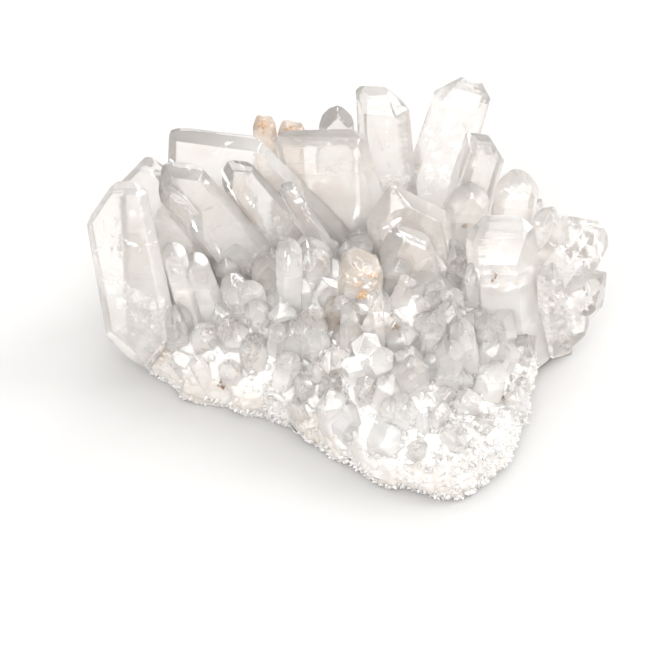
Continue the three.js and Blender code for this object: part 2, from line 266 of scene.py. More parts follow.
def noise_vector(p, size, seed=0):
    """Three noises side by side, one for each axis."""
    return np.stack([noise(p, size, seed + k) for k in (0, 11, 23)], axis=-1)


# ---------------------------------------------------------------- meshes

def new_mesh(name, verts, faces, uv=None):
    """A mesh from points in mm and from faces, with a map of the points in mm where there is one."""
    mesh = bpy.data.meshes.new(name)
    mesh.from_pydata((np.asarray(verts, float) * MM).tolist(), [], faces)
    if uv is not None:
        layer = mesh.uv_layers.new(name="UVMap")
        loops = np.empty(len(mesh.loops), int)
        mesh.loops.foreach_get("vertex_index", loops)
        layer.data.foreach_set("uv", (uv[loops] * MM).ravel())
    mesh.update()
    return mesh


def clean(mesh, close=2e-7):
    """Merges points that coincide, drops faces without area and turns the rest outward."""
    bm = bmesh.new()
    bm.from_mesh(mesh)
    bmesh.ops.remove_doubles(bm, verts=bm.verts, dist=close)
    bmesh.ops.dissolve_degenerate(bm, dist=close, edges=bm.edges)
    bmesh.ops.recalc_face_normals(bm, faces=bm.faces)
    bm.to_mesh(mesh)
    bm.free()
    mesh.validate()
    mesh.update()
    return mesh


def new_object(name, mesh):
    """An object for a mesh, at the origin."""
    obj = bpy.data.objects.new(name, mesh)
    bpy.context.scene.collection.objects.link(obj)
    return obj


def shade(mesh, degrees):
    """Smooth faces, with the edges past an angle kept sharp."""
    mesh.shade_smooth()
    mesh.set_sharp_from_angle(angle=math.radians(degrees))


def tube_faces(rows, cols):
    """Faces of a grid closed round its columns, with a fan to one more point at each end."""
    r, c = np.meshgrid(np.arange(rows - 1), np.arange(cols), indexing="ij")
    n = (c + 1) % cols
    quads = np.stack([r * cols + c, r * cols + n, (r + 1) * cols + n, (r + 1) * cols + c], axis=-1)
    ring = np.arange(cols)
    after = (ring + 1) % cols
    first, last = rows * cols, rows * cols + 1
    low = np.stack([after, ring, np.full(cols, first)], axis=-1)
    high = (rows - 1) * cols
    top = np.stack([high + ring, high + after, np.full(cols, last)], axis=-1)
    return quads.reshape(-1, 4).tolist() + low.tolist() + top.tolist()


def patch_faces(rows, cols):
    """Faces of an open grid."""
    r, c = np.meshgrid(np.arange(rows - 1), np.arange(cols - 1), indexing="ij")
    return np.stack([r * cols + c, r * cols + c + 1, (r + 1) * cols + c + 1, (r + 1) * cols + c],
                    axis=-1).reshape(-1, 4)


# ---------------------------------------------------------------- crystal shape

class Shape:
    """A crystal's axes and the distances of its faces, in mm."""

    def __init__(self, c):
        """Axes from the root, the tip and the way the broad face looks."""
        self.c = c
        self.root = np.array(c["root"], float)
        tip = np.array(c["tip"], float)
        self.length = float(np.linalg.norm(tip - self.root))
        self.axis = unit(tip - self.root)
        facing = np.array(c["facing"], float)
        self.broad = unit(facing - self.axis * facing.dot(self.axis))
        self.across = np.cross(self.axis, self.broad)
        turn = np.arange(6) * math.pi / 3
        self.flat = np.stack([np.cos(turn), np.sin(turn)], axis=-1)
        half = c["wide"] / 2 * math.cos(math.pi / 6)
        self.reach = np.where(np.arange(6) % 3 == 0, c["thick"] / 2, half)
        self.top = self.length - np.array(c["drop"], float)
        self.cot = 1 / math.tan(END_FACE_ANGLE)
        self.taper = math.tan(math.radians(1.5))

    def sides(self, s):
        """Distance of the six sides from the axis at height s: the smaller of the wall's,
        which shrinks with the taper, and the end face's, which falls in a straight line to the tip."""
        s = np.asarray(s, float)[..., None]
        d = np.minimum(self.reach - s * self.taper, (self.top - s) * self.cot)
        if self.c["both"]:
            d = np.minimum(d, s * self.cot)
        return d

    def planes(self):
        """Normals and distances of every flat face, for rounding edges and for keeping inside."""
        out = self.flat @ np.stack([self.broad, self.across])
        t = math.atan(self.taper)
        walls = out * math.cos(t) + self.axis * math.sin(t)
        wall_d = np.sum(walls * (self.root + out * self.reach[:, None]), axis=1)
        ends = out * math.sin(END_FACE_ANGLE) + self.axis * math.cos(END_FACE_ANGLE)
        end_d = np.sum(ends * (self.root + self.axis * self.top[:, None]), axis=1)
        normals, dist = [walls, ends, [(0, 0, -1)]], [wall_d, end_d, [-ROOT_FLOOR]]
        if self.c["both"]:
            under = out * math.sin(END_FACE_ANGLE) - self.axis * math.cos(END_FACE_ANGLE)
            normals.append(under)
            dist.append(under @ self.root)
        return np.concatenate(normals), np.concatenate(dist)

    def peak(self):
        """The height where the cross-section shrinks to nothing, by halving."""
        low, high = 0.3 * self.length, self.length + 30
        for _ in range(40):
            mid = (low + high) / 2
            d = self.sides(mid)
            open_ = min((d[:3] + d[3:]).min(), d[0::2].sum(), d[1::2].sum()) > 0
            low, high = (mid, high) if open_ else (low, mid)
        return low

    def corners(self, s):
        """Corners of the cross-section at heights s: for each of the six directions between two
        sides, the crossing of two side lines that lies inside all sides and reaches furthest."""
        d = self.sides(s)
        pairs = [(i, j) for i in range(6) for j in range(i + 1, 6) if (j - i) != 3]
        points = []
        for i, j in pairs:
            m = np.linalg.inv(self.flat[[i, j]])
            points.append(d[:, [i, j]] @ m.T)
        points = np.stack(points, axis=1)
        inside = (points @ self.flat.T <= d[:, None, :] + 1e-6).all(axis=2)
        turn = (np.arange(6) - 0.5) * math.pi / 3
        look = np.stack([np.cos(turn), np.sin(turn)], axis=-1)
        score = np.where(inside[..., None], points @ look.T, -1e9)
        pick = score.argmax(axis=1)
        return np.take_along_axis(points, pick[..., None], axis=1)

    def levels(self, spacing):
        """Heights of the grid's rows: every height where an edge starts or ends, with two more rows
        close to each side of it, and even steps between."""
        normals, dist = self.planes()
        normals, dist = np.delete(normals, WALL_FACES, axis=0), np.delete(dist, WALL_FACES)
        n = len(normals)
        tri = np.array([(a, b, e) for a in range(n) for b in range(a + 1, n) for e in range(b + 1, n)])
        m = normals[tri]
        det = np.linalg.det(m)
        good = np.abs(det) > 1e-4
        x = np.linalg.solve(m[good], dist[tri[good]][..., None])[..., 0]
        x = x[(x @ normals.T <= dist + 1e-4).all(axis=1)]
        key = np.unique(np.round((x - self.root) @ self.axis, 2))
        high = self.peak() - 0.015
        low = 0.02 if self.c["both"] else min(0.0, (ROOT_FLOOR - self.root[2]) / self.axis[2]) - 6
        key = key[(key > low + 0.3) & (key < high - 0.1)]
        ends = [low, high, high - CLOSE_ROW, high - NEAR_ROW]
        near = np.concatenate([ends, key, key - CLOSE_ROW, key + CLOSE_ROW, key - NEAR_ROW, key + NEAR_ROW])
        near = np.unique(np.round(near[(near >= low) & (near <= high)], 3))
        keep = [near[0]]
        for value in near[1:]:
            if value - keep[-1] > 0.05:
                keep.append(value)
        rows = []
        for a, b in zip(keep[:-1], keep[1:]):
            rows.extend(np.linspace(a, b, max(1, int(math.ceil((b - a) / spacing))) + 1)[:-1])
        rows.append(keep[-1])
        return np.array(rows)


def crystal_grid(c, spacing, edge, rough, seed):
    """The surface of one crystal, as a grid of heights along its axis and places round its outline.
    A point is the axis point at its height, plus the place along one side of the cross-section.
    Edges are worn round: a point moves in from each flat face by edge times e to the minus its
    distance from that face over edge. A slow noise then waves every face a little.
    A broken end cuts every height to a leaning, shell-like rippled surface."""
    shape = Shape(c)
    s = shape.levels(spacing)
    corner = shape.corners(s)
    after = np.roll(corner, -1, axis=1)
    steps = np.array([0, 0.03, 0.34, 0.66, 0.97])
    flat = corner[:, :, None, :] * (1 - steps[:, None]) + after[:, :, None, :] * steps[:, None]
    flat = flat.reshape(len(s), -1, 2)
    p = (shape.root + s[:, None, None] * shape.axis
         + flat[..., :1] * shape.broad + flat[..., 1:] * shape.across)
    normals, dist = shape.planes()
    normals, dist = np.delete(normals, WALL_FACES, axis=0), np.delete(dist, WALL_FACES)
    gap = np.clip(dist - p @ normals.T, 0, None)
    p = p - (edge * np.exp(-gap / edge)) @ normals
    p = p + rough * noise_vector(p, 6.0, seed) + 0.35 * rough * noise_vector(p, 1.9, seed + 5)
    if c["broken"]:
        rel = p - shape.root
        h = rel @ shape.axis
        x = rel @ shape.across
        y = rel @ shape.broad
        side = rel - h[..., None] * shape.axis
        ripple = (1.2 * np.abs(noise(side + 9.0 * seed, 4.5, seed)) + 0.3 * np.abs(noise(side, 1.9, seed + 2))
                  + 0.05 * noise(side, 0.8, seed + 4))
        stop = shape.length - c["broken"] - BROKEN_LEAN * x - 0.5 * BROKEN_LEAN * y - ripple
        p = p - np.clip(h - stop, 0, None)[..., None] * shape.axis
    low = np.clip(ROOT_FLOOR - p[..., 2], 0, None) / shape.axis[2]
    p = p + low[..., None] * shape.axis
    rows, cols = p.shape[:2]
    around = np.concatenate([[0], np.cumsum(np.linalg.norm(np.diff(p[rows // 2], axis=0), axis=1))])
    below = s - shape.length
    uv = np.stack(np.broadcast_arrays(around[None, :], below[:, None]), axis=-1).reshape(-1, 2)
    ends = np.stack([p[0].mean(axis=0), p[-1].mean(axis=0)])
    uv = np.concatenate([uv, [[0, below[0]], [0, below[-1]]]])
    return np.concatenate([p.reshape(-1, 3), ends]), tube_faces(rows, cols), uv


def join_solids(name, meshes):
    """The union of closed meshes, as one mesh."""
    objects = [new_object(f"{name}_part{i}", mesh) for i, mesh in enumerate(meshes)]
    base = objects[0]
    for other in objects[1:]:
        cut = base.modifiers.new("join", "BOOLEAN")
        cut.operation = "UNION"
        cut.solver = "MANIFOLD"
        cut.object = other
    graph = bpy.context.evaluated_depsgraph_get()
    joined = bpy.data.meshes.new_from_object(base.evaluated_get(graph))
    joined.name = name
    clean(joined)
    for obj in objects:
        data = obj.data
        bpy.data.objects.remove(obj)
        bpy.data.meshes.remove(data)
    return joined


def clump_nodes(clump):
    """The frame's nodes that a clump stands for."""
    return [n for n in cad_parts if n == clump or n.rsplit("_", 1)[0] == clump and n[-1].isdigit()]


# ---------------------------------------------------------------- materials

def shader(name):
    """A new material and its one shader, with helpers for its nodes."""
    mat = bpy.data.materials.new(name)
    mat.use_nodes = True
    tree = mat.node_tree
    return mat, tree, tree.nodes["Principled BSDF"]


def node(tree, kind, **values):
    """A node with its settings and its unlinked sockets set."""
    made = tree.nodes.new(kind)
    for key, value in values.items():
        if key in made.inputs:
            made.inputs[key].default_value = value
        else:
            setattr(made, key, value)
    return made


CLOUD = (0.92, 0.89, 0.865)   # how the darkest clouds in a crystal tint it


def quartz_material(name, colour, absorb, density, transmission, fade, rough, bump, stain=None):
    """Clear quartz: plain transmission, index and absorption, with growth lines across its walls.
    It is clear at the tip and clouds over towards the root, between two distances below the tip."""
    mat, tree, bsdf = shader(name)
    link = tree.links.new
    bsdf.inputs["IOR"].default_value = QUARTZ_IOR
    place = node(tree, "ShaderNodeTexCoord")
    cloud = node(tree, "ShaderNodeTexNoise", Scale=110.0, Detail=6.0, Roughness=0.6, Distortion=0.6)
    link(place.outputs["Object"], cloud.inputs["Vector"])
    tint = node(tree, "ShaderNodeValToRGB")
    link(cloud.outputs["Fac"], tint.inputs["Fac"])
    tint.color_ramp.elements[0].position = 0.34
    tint.color_ramp.elements[0].color = (*(np.array(colour) * CLOUD), 1)
    tint.color_ramp.elements[1].position = 0.56
    tint.color_ramp.elements[1].color = (*colour, 1)
    if stain:
        tint.color_ramp.elements[0].color = (*stain, 1)
        tint.color_ramp.elements[0].position = 0.44
        tint.color_ramp.elements[1].position = 0.60
    link(tint.outputs["Color"], bsdf.inputs["Base Color"])
    split = node(tree, "ShaderNodeSeparateXYZ")
    link(place.outputs["UV"], split.inputs["Vector"])
    clearing = node(tree, "ShaderNodeMapRange")
    clearing.inputs["From Min"].default_value = -fade[1] * MM
    clearing.inputs["From Max"].default_value = -fade[0] * MM
    clearing.inputs["To Min"].default_value = transmission[1]
    clearing.inputs["To Max"].default_value = transmission[0]
    link(split.outputs["Y"], clearing.inputs["Value"])
    link(clearing.outputs["Result"], bsdf.inputs["Transmission Weight"])
    lines = node(tree, "ShaderNodeMapping")
    lines.inputs["Scale"].default_value = (60, 900, 1)
    link(place.outputs["UV"], lines.inputs["Vector"])
    growth = node(tree, "ShaderNodeTexNoise", Scale=1.0, Detail=3.0, Roughness=0.6)
    link(lines.outputs["Vector"], growth.inputs["Vector"])
    waves = node(tree, "ShaderNodeTexNoise", Scale=160.0, Detail=2.0, Roughness=0.5)
    link(place.outputs["Object"], waves.inputs["Vector"])
    both = node(tree, "ShaderNodeMath", operation="MULTIPLY_ADD")
    both.inputs[1].default_value = 0.5
    link(growth.outputs["Fac"], both.inputs[0])
    link(waves.outputs["Fac"], both.inputs[2])
    relief = node(tree, "ShaderNodeBump", Strength=bump, Distance=0.001)
    link(both.outputs["Value"], relief.inputs["Height"])
    link(relief.outputs["Normal"], bsdf.inputs["Normal"])
    span = node(tree, "ShaderNodeMapRange")
    span.inputs["From Min"].default_value = 0.35
    span.inputs["From Max"].default_value = 0.75
    span.inputs["To Min"].default_value = rough[0]
    span.inputs["To Max"].default_value = rough[1]
    link(waves.outputs["Fac"], span.inputs["Value"])
    link(span.outputs["Result"], bsdf.inputs["Roughness"])
    if density:
        body = node(tree, "ShaderNodeVolumeAbsorption", Density=density)
        body.inputs["Color"].default_value = (*absorb, 1)
        link(body.outputs["Volume"], tree.nodes["Material Output"].inputs["Volume"])
    return mat


MATERIALS = {}

# Crystals: absorption colour, absorption density, share of light let through at the tip and at the
# root, where it fades between them in mm below the tip, roughness least and most, and relief.
CRYSTAL_LOOKS = {
    "clear_quartz": ((0.88, 0.80, 0.73), 3.0, (0.92, 0.76), (6.0, 26.0), (0.01, 0.10), 0.18),
    "hazy_crystal": ((0.88, 0.80, 0.73), 2.0, (0.89, 0.66), (2.0, 16.0), (0.01, 0.09), 0.2),
    "milky_crystal": ((0.88, 0.80, 0.73), 1.5, (0.86, 0.56), (1.0, 10.0), (0.01, 0.08), 0.2),
    "clouded_crystal": ((0.88, 0.80, 0.73), 3.0, (0.88, 0.80), (6.0, 20.0), (0.02, 0.12), 0.25),
    "smoky_quartz": ((0.80, 0.72, 0.65), 8.0, (0.86, 0.76), (6.0, 20.0), (0.04, 0.14), 0.18),
    "tan_crystal": ((0.86, 0.76, 0.66), 6.0, (0.86, 0.68), (3.0, 18.0), (0.03, 0.20), 0.3),
    "stained_quartz": ((0.84, 0.70, 0.55), 8.0, (0.76, 0.70), (6.0, 20.0), (0.08, 0.35), 0.4),
    "frosted_quartz": ((0.80, 0.78, 0.76), 4.0, (0.66, 0.50), (6.0, 20.0), (0.10, 0.35), 0.5),
}


def plain_material(name, colour, roughness, transmission=0.0):
    """A material of one colour for grains too small to show any change across them."""
    mat, _, bsdf = shader(name)
    bsdf.inputs["Base Color"].default_value = (*colour, 1)
    bsdf.inputs["Roughness"].default_value = roughness
    bsdf.inputs["Transmission Weight"].default_value = transmission
    if transmission:
        bsdf.inputs["IOR"].default_value = QUARTZ_IOR
    return mat


def map_range(tree, value, low, high, to_low, to_high):
    """A node that carries one range of values onto another."""
    made = node(tree, "ShaderNodeMapRange")
    made.inputs["From Min"].default_value = low
    made.inputs["From Max"].default_value = high
    made.inputs["To Min"].default_value = to_low
    made.inputs["To Max"].default_value = to_high
    tree.links.new(value, made.inputs["Value"])
    return made.outputs["Result"]


def flake_material(name, colour, roughness, metallic):
    """An open crack, or a dark grey sheet that is a painted dark reflection: a sheet that mirrors in some
    spots and lets light by in the others.
    """
    mat, tree, bsdf = shader(name)
    bsdf.inputs["Base Color"].default_value = (*colour, 1)
    bsdf.inputs["Roughness"].default_value = roughness
    bsdf.inputs["Metallic"].default_value = metallic
    place = node(tree, "ShaderNodeTexCoord")
    spots = node(tree, "ShaderNodeTexNoise", Scale=500.0, Detail=5.0, Roughness=0.6)
    tree.links.new(place.outputs["Object"], spots.inputs["Vector"])
    tree.links.new(map_range(tree, spots.outputs["Fac"], 0.44, 0.62, 0.0, 0.8), bsdf.inputs["Alpha"])
    return mat


def veil_material(name, roughness, metallic, scale, spots_from, spots_to):
    """A healed crack: a thin sheet of specks that fades out towards its rim."""
    mat, tree, bsdf = shader(name)
    link = tree.links.new
    bsdf.inputs["Base Color"].default_value = (0.98, 0.97, 0.96, 1)
    bsdf.inputs["Roughness"].default_value = roughness
    bsdf.inputs["Metallic"].default_value = metallic
    place = node(tree, "ShaderNodeTexCoord")
    split = node(tree, "ShaderNodeSeparateXYZ")
    link(place.outputs["UV"], split.inputs["Vector"])
    spots = node(tree, "ShaderNodeTexNoise", Scale=scale, Detail=6.0, Roughness=0.65)
    link(place.outputs["Object"], spots.inputs["Vector"])
    amount = node(tree, "ShaderNodeMath", operation="MULTIPLY")
    link(map_range(tree, spots.outputs["Fac"], *spots_from, *spots_to), amount.inputs[0])
    link(map_range(tree, split.outputs["X"], 0.7, 1.0, 1.0, 0.0), amount.inputs[1])
    link(amount.outputs["Value"], bsdf.inputs["Alpha"])
    return mat


def plate_material(name, dark, pale, top):
    """Milky rock: cloudy round the rim, with a sugary grain, and painted paler on top: painted light that
    stands in for light reaching the plate between the crystals.
    """
    mat, tree, bsdf = shader(name)
    link = tree.links.new
    place = node(tree, "ShaderNodeTexCoord")
    cloud = node(tree, "ShaderNodeTexNoise", Scale=70.0, Detail=5.0, Roughness=0.6)
    link(place.outputs["Object"], cloud.inputs["Vector"])
    tint = node(tree, "ShaderNodeValToRGB")
    link(cloud.outputs["Fac"], tint.inputs["Fac"])
    tint.color_ramp.elements[0].position = 0.35
    tint.color_ramp.elements[0].color = (*dark, 1)
    tint.color_ramp.elements[1].position = 0.62
    tint.color_ramp.elements[1].color = (*pale, 1)
    split = node(tree, "ShaderNodeSeparateXYZ")
    link(place.outputs["Object"], split.inputs["Vector"])
    blend = node(tree, "ShaderNodeMix", data_type="RGBA")
    # painted light: from 8 to 13 mm up, the rim's own cloudy tone turns to the paler top colour
    link(map_range(tree, split.outputs["Z"], 8 * MM, 13 * MM, 0.0, 1.0), blend.inputs["Factor"])
    link(tint.outputs["Color"], blend.inputs["A"])
    blend.inputs["B"].default_value = (*top, 1)
    link(blend.outputs["Result"], bsdf.inputs["Base Color"])
    grain = node(tree, "ShaderNodeTexNoise", Scale=900.0, Detail=3.0, Roughness=0.6)
    link(place.outputs["Object"], grain.inputs["Vector"])
    relief = node(tree, "ShaderNodeBump", Strength=0.5, Distance=0.4 * MM)
    link(grain.outputs["Fac"], relief.inputs["Height"])
    link(relief.outputs["Normal"], bsdf.inputs["Normal"])
    bsdf.inputs["Roughness"].default_value = 0.25
    bsdf.inputs["IOR"].default_value = QUARTZ_IOR
    bsdf.inputs["Transmission Weight"].default_value = 0.15
    bsdf.inputs["Subsurface Weight"].default_value = 0.3
    bsdf.inputs["Subsurface Radius"].default_value = (0.003, 0.0026, 0.0022)
    bsdf.inputs["Subsurface Scale"].default_value = 1.0
    return mat


def material(look):
    """The material of a look, made once."""
    if look in MATERIALS:
        return MATERIALS[look]
    tints = bpy.context.scene.quartz
    if look in CRYSTAL_LOOKS:
        colour = {"clear_quartz": tints.clear, "hazy_crystal": tints.hazy, "milky_crystal": tints.milky,
                  "clouded_crystal": tints.clouded, "smoky_quartz": tints.smoky, "tan_crystal": tints.tan,
                  "stained_quartz": tints.stained, "frosted_quartz": tints.frosted}[look]
        stain = {"stained_quartz": tints.stain, "tan_crystal": tints.tan_stain}.get(look)
        mat = quartz_material(look, tuple(colour), *CRYSTAL_LOOKS[look], stain=stain)
    elif look == "druse":
        mat = plain_material(look, tints.druse, 0.06, transmission=0.35)
    elif look == "rust":
        mat = plain_material(look, tints.rust, 0.7)
    elif look == "dirt":
        mat = plain_material(look, tints.dirt, 0.7)
    elif look == "flake_white":
        mat = flake_material(look, (1.0, 0.99, 0.98), 0.5, 0.0)
    elif look == "flake_bright":
        mat = flake_material(look, (1.0, 0.99, 0.98), 0.12, 0.6)
    # painted reflection: a dark grey glossy sheet set inside the crystals where they show dark patches
    elif look == "flake_grey":
        mat = flake_material(look, (0.30, 0.30, 0.29), 0.12, 0.0)
    elif look == "veil_milk":
        mat = veil_material(look, 0.6, 0.0, 260.0, (0.42, 0.66), (0.02, 0.8))
    elif look == "veil_clear":
        mat = veil_material(look, 0.15, 0.6, 420.0, (0.50, 0.62), (0.0, 0.8))
    else:
        # the plate's top colour is painted light, paler than the rim's to stand in for light between the
        # crystals
        mat = plate_material(look, tints.plate_dark, tints.plate_pale, tints.plate_top_painted_light)
    MATERIALS[look] = mat
    return mat


# ---------------------------------------------------------------- plate shape

def plate_reach(angle):
    """The plate's reach at an angle, read smoothly from the list of reaches."""
    reach = np.array(PLATE_REACH, float)
    place = (angle / (2 * math.pi)) % 1 * len(reach)
    start = np.floor(place).astype(int) % len(reach)
    part = place - np.floor(place)
    ease = part * part * (3 - 2 * part)
    return reach[start] * (1 - ease) + reach[(start + 1) % len(reach)] * ease


PLATE_PROFILE = np.array([(0.02, 0), (0.5, 0), (0.94, 0), (0.962, 0.2), (0.985, 1.6), (1, 3.2), (0.995, 5),
                          (0.985, 6.8), (0.968, 8.2), (0.945, 9.3), (0.88, 12), (0.82, 14), (0.62, 18),
                          (0.42, 19.5), (0.2, 20), (0.02, 20)], float)
PLATE_RUN = np.concatenate([[0], np.cumsum(np.hypot(*(np.diff(PLATE_PROFILE, axis=0) * (50, 1)).T))])


def plate_points(angle, run, seed=3):
    """Points of the plate's surface: a half profile carried round its middle and stretched to its
    outline. Noise at three sizes pushes the rim in and out and lifts the top in lumps, and the
    middle swells by a mound that falls off as e to the minus the squared distance from its middle."""
    reach = np.interp(run, PLATE_RUN, PLATE_PROFILE[:, 0])
    height = np.interp(run, PLATE_RUN, PLATE_PROFILE[:, 1])
    edge = plate_reach(angle)
    out = np.stack([np.cos(angle), np.sin(angle)], axis=-1)
    p = np.concatenate([(reach * edge)[..., None] * out, (height + 0 * angle)[..., None]], axis=-1)
    rise = np.clip(p[..., 2] / 6, 0, 1)
    side = np.clip((reach - 0.8) / 0.15, 0, 1) * np.clip(p[..., 2], 0.15, 1)
    lump = 0.9 * noise(p, 5.0, seed) + 0.9 * np.abs(noise(p, 2.2, seed + 1)) + 0.3 * noise(p, 0.9, seed + 2)
    lift = (0.8 * noise(p, 4.0, seed + 7) + 0.5 * np.abs(noise(p, 1.5, seed + 8))
            + 0.2 * noise(p, 0.7, seed + 9))
    fall = (p[..., 0] / MOUND_LONG) ** 2 + ((p[..., 1] - MOUND_MIDDLE) / MOUND_DEEP) ** 2
    mound = MOUND_HEIGHT * np.exp(-fall) * (1 + 0.22 * noise(p, 7.0, seed + 12))
    p[..., :2] += (lump * side)[..., None] * out
    p[..., 2] += rise * (lift + mound)
    return p


def plate_grid(around=560):
    """The plate's surface on a grid of steps round it and steps along its profile."""
    run = np.linspace(0, 1, 80) * PLATE_RUN[-1]
    run = np.sort(np.concatenate([run, np.linspace(PLATE_RUN[2], PLATE_RUN[10], 60)[1:-1]]))
    angle = np.arange(around) / around * 2 * math.pi
    p = plate_points(*np.meshgrid(angle, run))
    ends = np.array([[0, 0, p[0, :, 2].mean()], [0, 0, p[-1, :, 2].mean()]])
    return np.concatenate([p.reshape(-1, 3), ends]), tube_faces(len(run), around)


# ---------------------------------------------------------------- small crystals

def points_of_quartz(place, out, length, width, rng):
    """Many small six-sided points at once. Each has a root ring of six corners, a shoulder ring whose
    corners sit lower the further they are from the tip's foot, and a tip off its middle."""
    n = len(place)
    spin = rng.uniform(0, 2 * math.pi, n)
    side = unit(np.cross(out, unit(rng.normal(size=(n, 3)))))
    other = np.cross(out, side)
    turn = spin[:, None] + np.arange(6) * math.pi / 3 + rng.uniform(-0.2, 0.2, (n, 6))
    flat = np.stack([np.cos(turn), np.sin(turn)], axis=-1) * (width / 2)[:, None, None]
    flat[..., 0] *= rng.uniform(0.6, 1.0, n)[:, None]
    foot = rng.uniform(-0.3, 0.3, (n, 2)) * width[:, None]
    slope = np.linalg.norm(flat - foot[:, None], axis=-1) * 1.27
    high = np.maximum(length[:, None] - slope, 0.12 * length[:, None])

    def spread(xy, z):
        """Places at a distance across and a height along each point's own way."""
        return (place[:, None] + xy[..., :1] * side[:, None] + xy[..., 1:] * other[:, None]
                + z[..., None] * out[:, None])

    root = spread(flat * 1.04, np.zeros((n, 6)) - 0.5 * width[:, None])
    shoulder = spread(flat, high)
    tip = spread(foot[:, None], length[:, None])
    verts = np.concatenate([root, shoulder, tip], axis=1)
    i = np.arange(6)
    j = (i + 1) % 6
    quads = (np.arange(n)[:, None, None] * 13 + np.stack([i, j, j + 6, i + 6], axis=-1)).reshape(-1, 4)
    tips = np.stack([i + 6, j + 6, np.full(6, 12)], axis=-1)
    tris = (np.arange(n)[:, None, None] * 13 + tips).reshape(-1, 3)
    base = (np.arange(n)[:, None] * 13 + i[::-1]).tolist()
    return verts.reshape(-1, 3), quads.tolist() + tris.tolist() + base


def druse_places(count, runs, rng):
    """Places on the plate and the ways their points look: tried at random between two runs of the
    profile, and kept most often at the front right corner, along the foot of the rim and in patches."""
    angle = rng.uniform(0, 2 * math.pi, count)
    run = rng.uniform(runs[0], runs[1], count)
    place = plate_points(angle, run)
    corner = np.exp(-((place[:, 0] - 32) / 20) ** 2 - ((place[:, 1] + 32) / 20) ** 2)
    beads = np.clip((3.6 - place[:, 2]) / 1.5, 0, 1)
    patches = np.clip(noise(place, 9.0, 77) * 3 - 0.6, 0, 1)
    keep = rng.uniform(0, 1, count) < 0.10 + 0.9 * corner + 0.8 * beads + 0.5 * patches
    angle, run, place = angle[keep], run[keep], place[keep]
    along = plate_points(angle, run + 0.16) - place
    around = plate_points(angle + 0.004, run) - place
    out = unit(np.cross(around, along))
    out = unit(out + rng.normal(0, 0.35, place.shape) + (0, 0, 0.15))
    out[:, 2] = np.where(place[:, 2] < 2.5, np.maximum(out[:, 2], 0.0), out[:, 2])
    return place, unit(out)


def ground(x, y):
    """Height of the plate's top at a place, without its lumps."""
    part = np.hypot(x, y) / plate_reach(np.arctan2(y, x))
    fall = (x / MOUND_LONG) ** 2 + ((y - MOUND_MIDDLE) / MOUND_DEEP) ** 2
    profile = PLATE_PROFILE[3:]
    return part, np.interp(-part, -profile[:, 0], profile[:, 1]) + MOUND_HEIGHT * np.exp(-fall)


def infill(gap):
    """Crystals that fill the gaps between the named ones: a jittered grid over the plate, each one
    rooted in the ground and leaning outward from the middle, with neighbours nearly side by side.
    They are longest in the middle, and left out where a named crystal already stands."""
    rng = np.random.default_rng(41)
    made = []
    gx, gy = np.meshgrid(np.arange(-55, 57, gap), np.arange(-46, 51, 0.857 * gap))
    gx = gx + (np.arange(gx.shape[0]) % 2 * gap / 2)[:, None]
    x = (gx + rng.uniform(-1.6, 1.6, gx.shape)).ravel()
    y = (gy + rng.uniform(-1.4, 1.4, gy.shape)).ravel()
    part, floor = ground(x, y)
    spot = np.stack([x, y, 0 * x], axis=-1)
    sway = 0.34 * noise_vector(spot, 15.0, 5)[:, :2]
    named = [c for clump in CLUMPS.values() for c in clump]
    roots = np.array([c["root"] for c in named], float)
    axes = unit(np.array([c["tip"] for c in named], float) - roots)
    wides = np.array([(c["wide"] + c["thick"]) / 2 for c in named], float)
    for px, py, r, low, (lean_x, lean_y) in zip(x, y, part, floor, sway):
        tone = rng.uniform(0, 1, 4)
        if r > 0.965:
            continue
        foot = roots + axes * ((low - roots[:, 2]) / axes[:, 2])[:, None]
        if (np.hypot(foot[:, 0] - px, foot[:, 1] - py) < 0.30 * wides).any():
            continue
        tilt = 0.7 + 0.9 * r * r
        lean = (np.array([px / 50 * 0.34 * tilt + lean_x, (py - 2) / 45 * 0.24 * tilt + lean_y - 0.05])
                + rng.normal(0, 0.05, 2))
        inner = np.clip(1.15 - r * r, 0, 1)
        wide = (6.2 + 2.6 * inner) * (0.7 + 0.6 * tone[0])
        rise = (7.2 + 2.6 * inner) * (0.55 + 0.7 * tone[1])
        deep = min(8.0, low - ROOT_FLOOR - 1)
        root = (px - deep * lean[0], py - deep * lean[1], low - deep)
        tip = (px + lean[0] * rise, py + lean[1] * rise, low + rise)
        drop = tuple(rng.choice([0, 0, 0.4, 0.9, 1.8, -0.5], 6))
        made.append(crystal(root, tip, wide, wide * (0.55 + 0.35 * tone[2]),
                            (rng.normal(0, 0.5), -1, 0.3), drop=drop,
                            broken=0.4 + 1.6 * tone[3] if rng.random() < 0.12 else 0.0))
    return made


# ---------------------------------------------------------------- veils

def veil_grid(shape, middle, normal, fill, rings, spokes, warp, seed):
    """A healed crack across a crystal: a disc that runs out from a middle point in every direction
    of a leaning plane until just short of the crystal's faces, and is warped by noise."""
    normals, dist = shape.planes()
    side = unit(np.cross(normal, shape.broad + 0.3 * shape.across))
    other = np.cross(normal, side)
    turn = np.arange(spokes) / spokes * 2 * math.pi
    look = np.cos(turn)[:, None] * side + np.sin(turn)[:, None] * other
    room = (dist - normals @ middle) / np.maximum(look @ normals.T, 1e-3)
    room = np.where(look @ normals.T > 1e-3, room, 1e3).min(axis=1)
    reach = np.minimum(room - 0.35, 14) * fill
    part = np.linspace(0, 1, rings)
    p = middle + part[:, None, None] * (reach[:, None] * look)
    p = p + (1 - part[:, None] ** 4)[..., None] * warp * noise(p, 3.5, seed)[..., None] * normal
    return p


